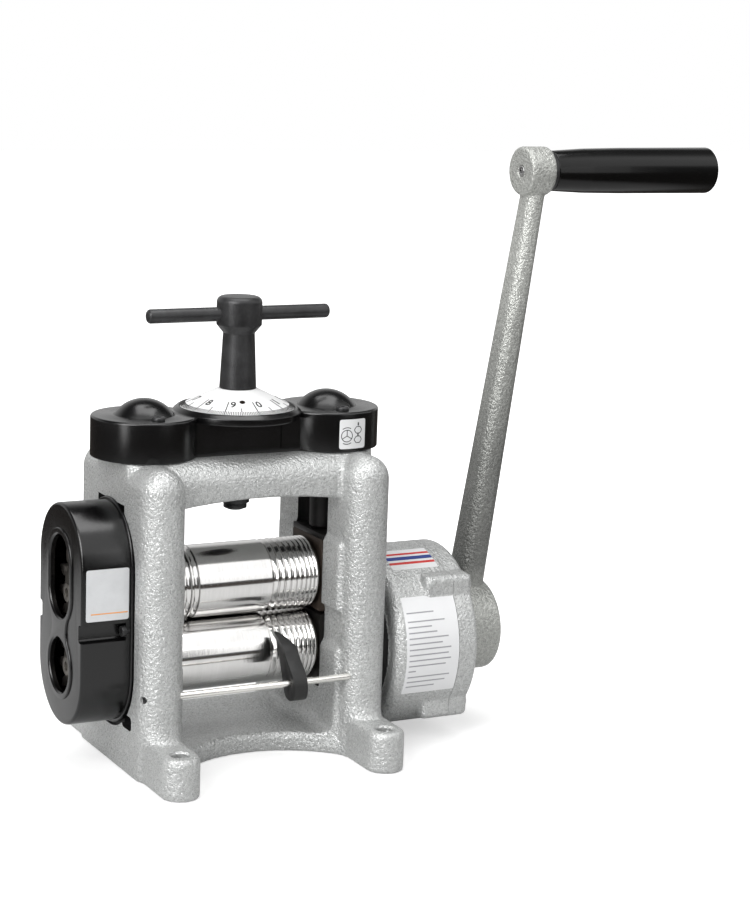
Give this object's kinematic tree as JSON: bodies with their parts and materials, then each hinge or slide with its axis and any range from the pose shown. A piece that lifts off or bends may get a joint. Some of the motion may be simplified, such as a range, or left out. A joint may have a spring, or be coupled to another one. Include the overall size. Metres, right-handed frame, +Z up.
{
  "type": "jewellers rolling mill",
  "caption": "Hand cranked bench mill: two grooved steel rolls in a cast frame, with a geared crank at one end and a handle with dial that sets the gap.",
  "frame": {"origin": "centre of the four bench bolt holes, on the plane of the feet", "axes": "+X along the roll axes towards the crank, +Z up, -Y towards the feeding side where the wire guide is"},
  "size_m": [0.5207, 0.2086, 0.4282],
  "materials": {
    "cast_paint": "silver grey hammertone paint on cast iron",
    "black_paint": "satin black",
    "roll_steel": "ground and polished hardened steel",
    "gear_steel": "machined, lightly oiled",
    "black_steel": "blackened, satin",
    "bronze": "machined bearing bronze",
    "zinc_steel": "bright zinc plated",
    "dial_white": "satin white with black scale",
    "grip_black": "glossy black",
    "guide_black": "moulded black plastic",
    "spring_steel": "plain spring steel"
  },
  "bodies": {
    "frame": {"frame_casting": "cast_paint", "frame_legs": "cast_paint", "frame_beam": "cast_paint", "lower_chock_left": "bronze", "lower_chock_right": "bronze", "lower_thrust_washers": "gear_steel", "lift_springs": "spring_steel", "screw_bush_left": "bronze", "screw_bush_right": "bronze", "spindle_bush": "bronze", "idler_pin_left": "gear_steel", "idler_pin_right": "gear_steel", "top_cover": "black_paint", "cover_screws": "black_steel", "gear_guard": "black_paint", "guard_screws": "zinc_steel", "gearbox_housing": "cast_paint", "gearbox_cap": "cast_paint", "cap_screws": "zinc_steel", "mount_screws": "zinc_steel", "ring_gear": "gear_steel", "crank_bush": "bronze", "rod_plug": "black_steel"},
    "crank": {"crank_arm": "cast_paint", "sun_shaft": "gear_steel", "crank_washer": "zinc_steel", "crank_screw": "zinc_steel", "grip_pin": "zinc_steel", "grip_collar": "black_steel"},
    "grip": {"grip": "grip_black"},
    "lower_roll": {"lower_roll": "roll_steel", "roll_gear_lower": "gear_steel", "gear_cap_lower": "zinc_steel", "planet_carrier": "gear_steel", "planet_pins": "gear_steel"},
    "planet_1": {"planet_gear_1": "gear_steel"},
    "planet_2": {"planet_gear_2": "gear_steel"},
    "planet_3": {"planet_gear_3": "gear_steel"},
    "upper_bearings": {"upper_chock_left": "bronze", "upper_chock_right": "bronze", "pressure_pad_left": "black_steel", "pressure_pad_right": "black_steel", "upper_thrust_washers": "gear_steel"},
    "upper_roll": {"upper_roll": "roll_steel", "roll_gear_upper": "gear_steel", "gear_cap_upper": "zinc_steel"},
    "handle": {"handle_spindle": "black_steel", "t_bar": "black_steel", "spindle_collar": "black_steel", "spindle_nut": "black_steel", "dial": "dial_white", "centre_gear": "gear_steel"},
    "idler_left": {"idler_gear_left": "gear_steel"},
    "idler_right": {"idler_gear_right": "gear_steel"},
    "gear_left": {"screw_gear_left": "gear_steel"},
    "gear_right": {"screw_gear_right": "gear_steel"},
    "screw_left": {"pressure_screw_left": "gear_steel"},
    "screw_right": {"pressure_screw_right": "gear_steel"},
    "rod": {"guide_rod": "zinc_steel"},
    "guide": {"wire_guide": "guide_black"}
  },
  "joints": [
    {"name": "crank_turn", "type": "hinge", "parent": "frame", "child": "crank", "pos_m": [0.1, 0, 0.071], "axis": [1, 0, 0], "continuous": true},
    {"name": "grip_spin", "type": "hinge", "parent": "crank", "child": "grip", "pos_m": [0.3, 0, 0.4103], "axis": [1, 0, 0], "continuous": true},
    {"name": "lower_roll_turn", "type": "hinge", "parent": "frame", "child": "lower_roll", "pos_m": [0, 0, 0.071], "axis": [1, 0, 0], "continuous": true},
    {"name": "planet_1_turn", "type": "hinge", "parent": "lower_roll", "child": "planet_1", "pos_m": [0.125, 0, 0.107], "axis": [1, 0, 0], "continuous": true},
    {"name": "planet_2_turn", "type": "hinge", "parent": "lower_roll", "child": "planet_2", "pos_m": [0.125, -0.03118, 0.053], "axis": [1, 0, 0], "continuous": true},
    {"name": "planet_3_turn", "type": "hinge", "parent": "lower_roll", "child": "planet_3", "pos_m": [0.125, 0.03118, 0.053], "axis": [1, 0, 0], "continuous": true},
    {"name": "adjust_turn", "type": "hinge", "parent": "frame", "child": "handle", "pos_m": [0, 0, 0.26], "axis": [0, 0, 1], "range_deg": [0, 2160]},
    {"name": "bearing_lift", "type": "slide", "parent": "frame", "child": "upper_bearings", "axis": [0, 0, 1], "range_m": [0, 0.006], "deforming": ["lift_springs"]},
    {"name": "upper_roll_turn", "type": "hinge", "parent": "upper_bearings", "child": "upper_roll", "pos_m": [0, 0, 0.1233], "axis": [1, 0, 0], "continuous": true},
    {"name": "idler_left_turn", "type": "hinge", "parent": "frame", "child": "idler_left", "pos_m": [-0.033, 0, 0.2265], "axis": [0, 0, 1], "range_deg": [-2034, 0]},
    {"name": "idler_right_turn", "type": "hinge", "parent": "frame", "child": "idler_right", "pos_m": [0.033, 0, 0.2265], "axis": [0, 0, 1], "range_deg": [-2034, 0]},
    {"name": "gear_left_turn", "type": "hinge", "parent": "frame", "child": "gear_left", "pos_m": [-0.07, 0, 0.2265], "axis": [0, 0, 1], "range_deg": [0, 1728]},
    {"name": "gear_right_turn", "type": "hinge", "parent": "frame", "child": "gear_right", "pos_m": [0.07, 0, 0.2265], "axis": [0, 0, 1], "range_deg": [0, 1728]},
    {"name": "screw_left_turn", "type": "hinge", "parent": "upper_bearings", "child": "screw_left", "pos_m": [-0.07, 0, 0.2], "axis": [0, 0, 1], "range_deg": [0, 1728]},
    {"name": "screw_right_turn", "type": "hinge", "parent": "upper_bearings", "child": "screw_right", "pos_m": [0.07, 0, 0.2], "axis": [0, 0, 1], "range_deg": [0, 1728]},
    {"name": "rod_turn", "type": "hinge", "parent": "frame", "child": "rod", "pos_m": [0, -0.058, 0.0593], "axis": [1, 0, 0], "range_deg": [0, 75]},
    {"name": "guide_slide", "type": "slide", "parent": "rod", "child": "guide", "axis": [1, 0, 0], "range_m": [-0.075, 0.027]}
  ],
  "couplings": [
    {"joint": "lower_roll_turn", "follows": "crank_turn", "ratio": 0.25},
    {"joint": "upper_roll_turn", "follows": "crank_turn", "ratio": -0.25},
    {"joint": "planet_1_turn", "follows": "crank_turn", "ratio": -0.75},
    {"joint": "planet_2_turn", "follows": "crank_turn", "ratio": -0.75},
    {"joint": "planet_3_turn", "follows": "crank_turn", "ratio": -0.75},
    {"joint": "adjust_turn", "follows": "bearing_lift", "rad_per_m": 6283.2},
    {"joint": "idler_left_turn", "follows": "bearing_lift", "rad_per_m": -5913.6},
    {"joint": "idler_right_turn", "follows": "bearing_lift", "rad_per_m": -5913.6},
    {"joint": "gear_left_turn", "follows": "bearing_lift", "rad_per_m": 5026.5},
    {"joint": "gear_right_turn", "follows": "bearing_lift", "rad_per_m": 5026.5},
    {"joint": "screw_left_turn", "follows": "bearing_lift", "rad_per_m": 5026.5},
    {"joint": "screw_right_turn", "follows": "bearing_lift", "rad_per_m": 5026.5}
  ]
}
